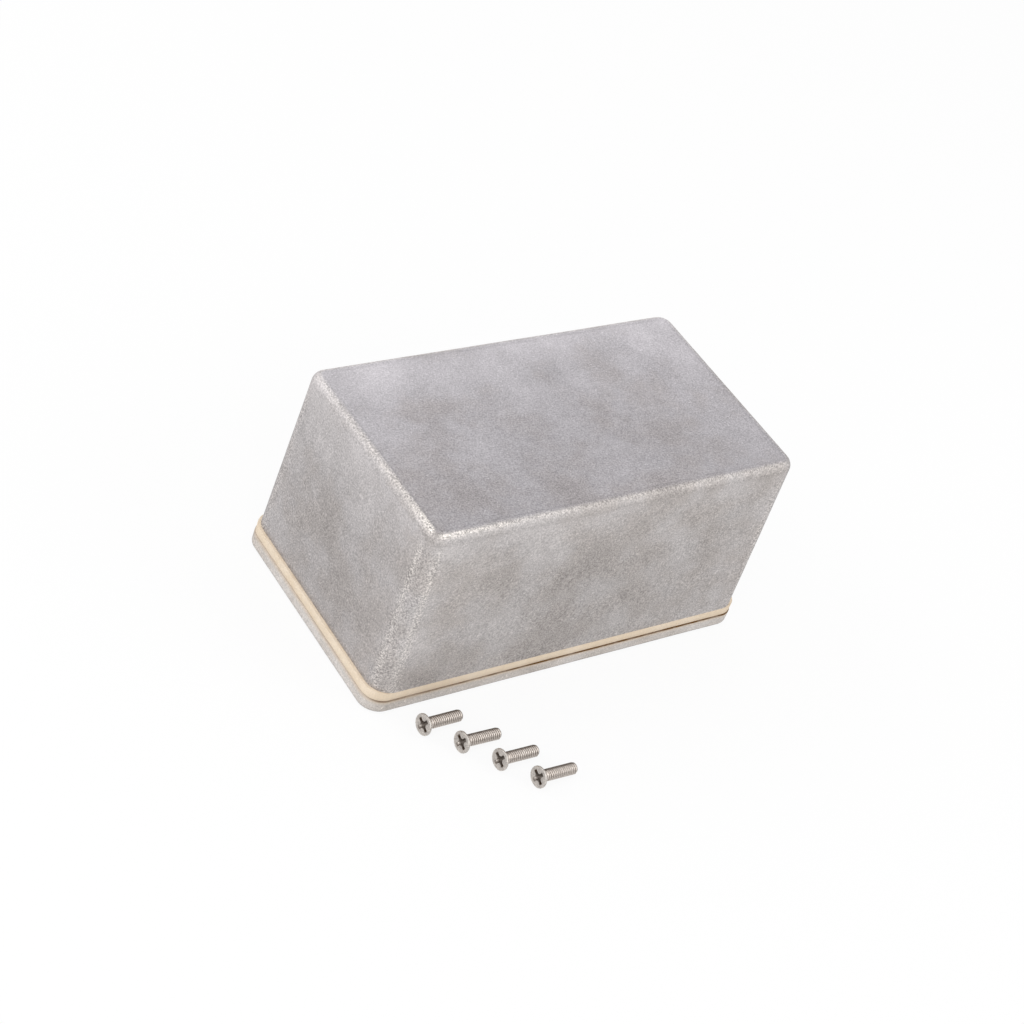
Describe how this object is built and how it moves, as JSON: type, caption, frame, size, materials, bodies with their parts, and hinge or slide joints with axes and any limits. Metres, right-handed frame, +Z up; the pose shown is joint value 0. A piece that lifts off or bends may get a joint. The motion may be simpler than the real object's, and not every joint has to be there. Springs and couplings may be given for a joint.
{
  "type": "electronics enclosure",
  "caption": "Sealed die-cast aluminium box standing upside down on its lid, with a flat gasket at the joint and its countersunk lid screws laid out in front.",
  "frame": {"origin": "centre of the lid's outer face, which the box stands on", "axes": "+X along the box's length, +Y across its width away from the row of screws, +Z up"},
  "size_m": [0.115, 0.0978, 0.056],
  "materials": {
    "cast_aluminium": "tumbled die-casting, mottled grey, bright where the edges are rubbed",
    "gasket_rubber": "matt tan sheet rubber, cut edges",
    "screw_steel": "plain stainless, rolled thread"
  },
  "bodies": {
    "root": {"casing": "cast_aluminium", "gasket": "gasket_rubber", "lid": "cast_aluminium", "lid_screws": "screw_steel"}
  },
  "joints": []
}
